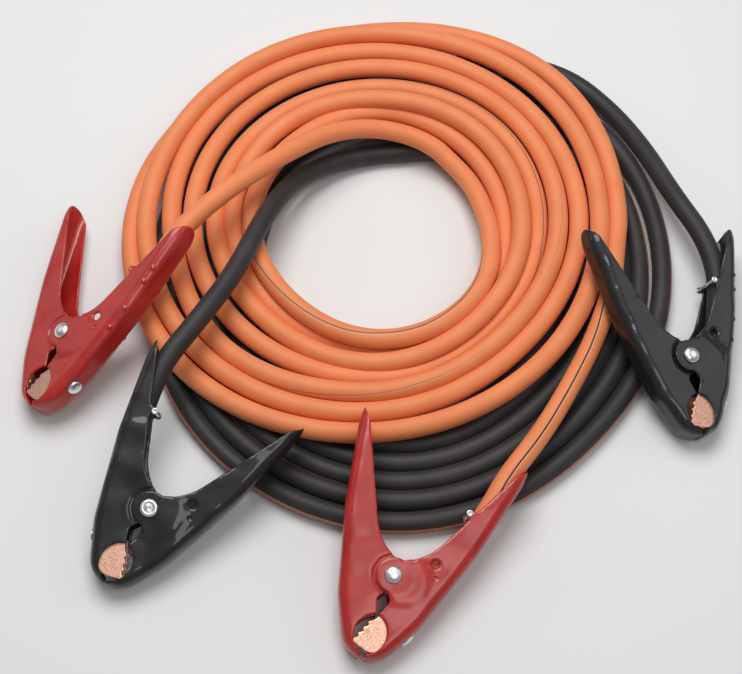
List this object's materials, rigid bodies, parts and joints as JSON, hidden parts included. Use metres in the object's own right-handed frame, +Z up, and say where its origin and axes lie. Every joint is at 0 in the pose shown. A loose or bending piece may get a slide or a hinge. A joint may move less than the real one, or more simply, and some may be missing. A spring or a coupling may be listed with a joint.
{
  "type": "booster cable set",
  "caption": "Two single-core booster leads, one orange and one black, wound into flat rings, with a sprung vinyl-dipped clamp riveted together on each end.",
  "frame": {"origin": "on the floor, under the middle of the box round the four clamps", "axes": "+X to the right along the row of clamps, +Y away towards the far edge of the rings, +Z up from the floor"},
  "size_m": [0.4578, 0.4681, 0.0675],
  "materials": {
    "red_vinyl": "pressed steel under a glossy red vinyl dip coat, scuffed at the rims",
    "black_vinyl": "pressed steel under a satin black vinyl dip coat, dusty and scuffed",
    "plated_steel": "zinc plated steel with a dull yellowish tint",
    "spring_steel": "bright drawn spring wire, lightly oiled",
    "copper": "copper plated strip, slightly tarnished",
    "strands": "bare twisted copper strands",
    "orange_jacket": "soft matt orange jacket with a thin black stripe",
    "black_jacket": "soft satin black jacket with a thin double orange line"
  },
  "bodies": {
    "cable_set": {"left_red_cable_side_half": "red_vinyl", "left_red_pivot_rivet": "plated_steel", "left_red_torsion_spring": "spring_steel", "left_red_copper_contact": "copper", "left_red_contact_rivet": "plated_steel", "left_red_cross_pin": "plated_steel", "left_red_bare_conductor": "strands", "left_red_lead_end": "orange_jacket", "front_red_cable_side_half": "red_vinyl", "front_red_pivot_rivet": "plated_steel", "front_red_torsion_spring": "spring_steel", "front_red_copper_contact": "copper", "front_red_contact_rivet": "plated_steel", "front_red_cross_pin": "plated_steel", "front_red_bare_conductor": "strands", "front_red_lead_end": "orange_jacket", "left_black_cable_side_half": "black_vinyl", "left_black_pivot_rivet": "plated_steel", "left_black_torsion_spring": "spring_steel", "left_black_copper_contact": "copper", "left_black_contact_rivet": "plated_steel", "left_black_cross_pin": "plated_steel", "left_black_bare_conductor": "strands", "left_black_lead_end": "black_jacket", "right_black_cable_side_half": "black_vinyl", "right_black_pivot_rivet": "plated_steel", "right_black_torsion_spring": "spring_steel", "right_black_copper_contact": "copper", "right_black_contact_rivet": "plated_steel", "right_black_cross_pin": "plated_steel", "right_black_bare_conductor": "strands", "right_black_lead_end": "black_jacket", "orange_cable_ring": "orange_jacket", "black_cable_ring": "black_jacket"},
    "left_red_free_jaw": {"left_red_free_side_half": "red_vinyl", "left_red_opposing_teeth": "copper"},
    "front_red_free_jaw": {"front_red_free_side_half": "red_vinyl", "front_red_opposing_teeth": "copper"},
    "left_black_free_jaw": {"left_black_free_side_half": "black_vinyl", "left_black_opposing_teeth": "copper"},
    "right_black_free_jaw": {"right_black_free_side_half": "black_vinyl", "right_black_opposing_teeth": "copper"}
  },
  "joints": [
    {"name": "left_red_pivot", "type": "hinge", "parent": "cable_set", "child": "left_red_free_jaw", "pos_m": [-0.19691, 0.05117, 0.02227], "axis": [0.4616, -0.0104, -0.887], "range_deg": [0, 40], "stiffness_Nm_per_rad": 2.3, "springref_deg": -63.03, "deforming": ["left_red_torsion_spring"]},
    {"name": "front_red_pivot", "type": "hinge", "parent": "cable_set", "child": "front_red_free_jaw", "pos_m": [0.00402, -0.1065, 0.01874], "axis": [-0.0536, 0.2111, -0.976], "range_deg": [0, 40], "stiffness_Nm_per_rad": 2.3, "springref_deg": -63.03, "deforming": ["front_red_torsion_spring"]},
    {"name": "left_black_pivot", "type": "hinge", "parent": "cable_set", "child": "left_black_free_jaw", "pos_m": [-0.13937, -0.06533, 0.02168], "axis": [0.0288, -0.2946, 0.9552], "range_deg": [0, 40], "stiffness_Nm_per_rad": 2.3, "springref_deg": -63.03, "deforming": ["left_black_torsion_spring"]},
    {"name": "right_black_pivot", "type": "hinge", "parent": "cable_set", "child": "right_black_free_jaw", "pos_m": [0.18755, 0.03609, 0.02046], "axis": [-0.2989, 0.1434, -0.9434], "range_deg": [0, 40], "stiffness_Nm_per_rad": 2.3, "springref_deg": -63.03, "deforming": ["right_black_torsion_spring"]}
  ]
}
